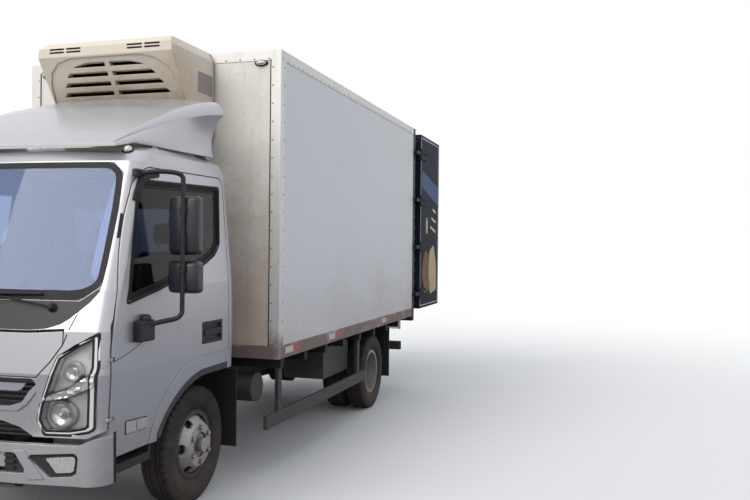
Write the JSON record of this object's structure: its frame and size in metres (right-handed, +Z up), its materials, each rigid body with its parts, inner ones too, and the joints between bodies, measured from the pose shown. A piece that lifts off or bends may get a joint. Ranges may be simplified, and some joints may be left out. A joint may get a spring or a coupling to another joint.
{
  "type": "refrigerated truck",
  "caption": "Light cab-over truck with an insulated box, front-mounted refrigeration unit, tilting cab and swinging rear doors.",
  "frame": {"origin": "on the ground below the middle of the truck's overall length and width, doors standing open", "axes": "+X forward, +Y to the truck's left, +Z up"},
  "size_m": [7.3, 2.332, 3.15],
  "materials": {
    "cab_silver": "silver paint, dusty",
    "box_white": "off-white insulated panels with road dirt",
    "door_artwork": "dark printed face",
    "rail_aluminium": "dull extruded rails",
    "floor_plate": "worn load floor",
    "frame_black": "dusty chassis black",
    "guard_grey": "weathered dark grey",
    "engine_iron": "oily cast iron",
    "tank_grey": "dusty grey",
    "exhaust_steel": "heat stained steel",
    "tyre_rubber": "dusty tyre rubber",
    "wheel_steel": "silver wheel paint, dusty",
    "black_plastic": "black moulded plastic",
    "dash_plastic": "dark grey moulded plastic",
    "seat_cloth": "dark woven cloth",
    "window_glass": "lightly tinted",
    "lamp_glass": "clear lamp cover",
    "lamp_chrome": "bright lamp bowls",
    "reefer_cream": "cream cover with tan dust"
  },
  "bodies": {
    "chassis": {"frame_rails": "frame_black", "leaf_springs": "frame_black", "front_axle": "frame_black", "rear_axle": "frame_black", "engine_block": "engine_iron", "propeller_shaft": "frame_black", "fuel_tank": "tank_grey", "battery_box": "tank_grey", "exhaust": "exhaust_steel", "air_canister": "tank_grey", "spare_tyre": "tyre_rubber", "spare_rim": "wheel_steel", "front_bumper": "cab_silver", "bumper_insert": "black_plastic", "lamps": "lamp_glass", "cab_steps": "black_plastic", "guard_rails": "guard_grey", "mudguards": "black_plastic", "box_bearers": "frame_black", "box_floor": "floor_plate", "box_front_wall": "box_white", "box_side_left": "box_white", "box_side_right": "box_white", "box_roof": "box_white", "box_edge_rails": "rail_aluminium", "box_rear_frame": "frame_black", "reefer_housing": "reefer_cream", "evaporator": "reefer_cream"},
    "cab": {"cab_shell": "cab_silver", "windscreen": "window_glass", "roof_fairing": "cab_silver", "headlamp_housings": "black_plastic", "headlamp_bowls": "lamp_chrome", "headlamp_lenses": "lamp_glass", "cowl_panel": "black_plastic", "grille": "black_plastic", "dashboard": "dash_plastic", "seats": "seat_cloth"},
    "service_lid": {"front_lid": "cab_silver"},
    "steering": {"steering_wheel": "black_plastic"},
    "cab_door_left": {"door_left": "cab_silver", "door_glass_left": "window_glass", "mirror_left": "black_plastic", "door_handle_left": "black_plastic"},
    "cab_door_right": {"door_right": "cab_silver", "door_glass_right": "window_glass", "mirror_right": "black_plastic", "door_handle_right": "black_plastic"},
    "hub_carrier_left": {"knuckle_left": "frame_black"},
    "hub_carrier_right": {"knuckle_right": "frame_black"},
    "wheel_front_left": {"front_rim_left": "wheel_steel", "front_tyre_left": "tyre_rubber"},
    "wheel_front_right": {"front_rim_right": "wheel_steel", "front_tyre_right": "tyre_rubber"},
    "wheels_rear_left": {"rear_rims_left": "wheel_steel", "rear_tyres_left": "tyre_rubber"},
    "wheels_rear_right": {"rear_rims_right": "wheel_steel", "rear_tyres_right": "tyre_rubber"},
    "box_door_left": {"rear_door_left": "door_artwork"},
    "box_door_right": {"rear_door_right": "box_white"}
  },
  "joints": [
    {"name": "cab_tilt", "type": "hinge", "parent": "chassis", "child": "cab", "pos_m": [3.465, 0, 0.8], "axis": [0, 1, 0], "range_deg": [0, 45]},
    {"name": "lid_hinge", "type": "hinge", "parent": "cab", "child": "service_lid", "pos_m": [3.487, 0, 1.34], "axis": [0, -1, 0], "range_deg": [0, 60]},
    {"name": "steering_turn", "type": "hinge", "parent": "cab", "child": "steering", "pos_m": [2.905, 0.4, 1.33], "axis": [-0.5, 0, 0.866], "range_deg": [-560, 560]},
    {"name": "cab_door_left_hinge", "type": "hinge", "parent": "cab", "child": "cab_door_left", "pos_m": [3.426, 0.888, 0.9], "axis": [0, 0, -1], "range_deg": [0, 70]},
    {"name": "cab_door_right_hinge", "type": "hinge", "parent": "cab", "child": "cab_door_right", "pos_m": [3.426, -0.888, 0.9], "axis": [0, 0, 1], "range_deg": [0, 70]},
    {"name": "steer_left", "type": "hinge", "parent": "chassis", "child": "hub_carrier_left", "pos_m": [2.405, 0.62, 0.3825], "axis": [0, 0, 1], "range_deg": [-32, 32]},
    {"name": "steer_right", "type": "hinge", "parent": "chassis", "child": "hub_carrier_right", "pos_m": [2.405, -0.62, 0.3825], "axis": [0, 0, 1], "range_deg": [-32, 32]},
    {"name": "spin_front_left", "type": "hinge", "parent": "hub_carrier_left", "child": "wheel_front_left", "pos_m": [2.405, 0.735, 0.3825], "axis": [0, 1, 0], "continuous": true},
    {"name": "spin_front_right", "type": "hinge", "parent": "hub_carrier_right", "child": "wheel_front_right", "pos_m": [2.405, -0.735, 0.3825], "axis": [0, 1, 0], "continuous": true},
    {"name": "spin_rear_left", "type": "hinge", "parent": "chassis", "child": "wheels_rear_left", "pos_m": [-0.955, 0.807, 0.3825], "axis": [0, 1, 0], "continuous": true},
    {"name": "spin_rear_right", "type": "hinge", "parent": "chassis", "child": "wheels_rear_right", "pos_m": [-0.955, -0.807, 0.3825], "axis": [0, 1, 0], "continuous": true},
    {"name": "box_door_left_hinge", "type": "hinge", "parent": "chassis", "child": "box_door_left", "pos_m": [-2.518, 1.14, 2], "axis": [0, 0, -1], "range_deg": [-90, 170]},
    {"name": "box_door_right_hinge", "type": "hinge", "parent": "chassis", "child": "box_door_right", "pos_m": [-2.518, -1.14, 2], "axis": [0, 0, 1], "range_deg": [-90, 170]}
  ],
  "couplings": [
    {"joint": "steer_right", "follows": "steer_left", "ratio": 1},
    {"joint": "steering_turn", "follows": "steer_left", "ratio": 17}
  ]
}
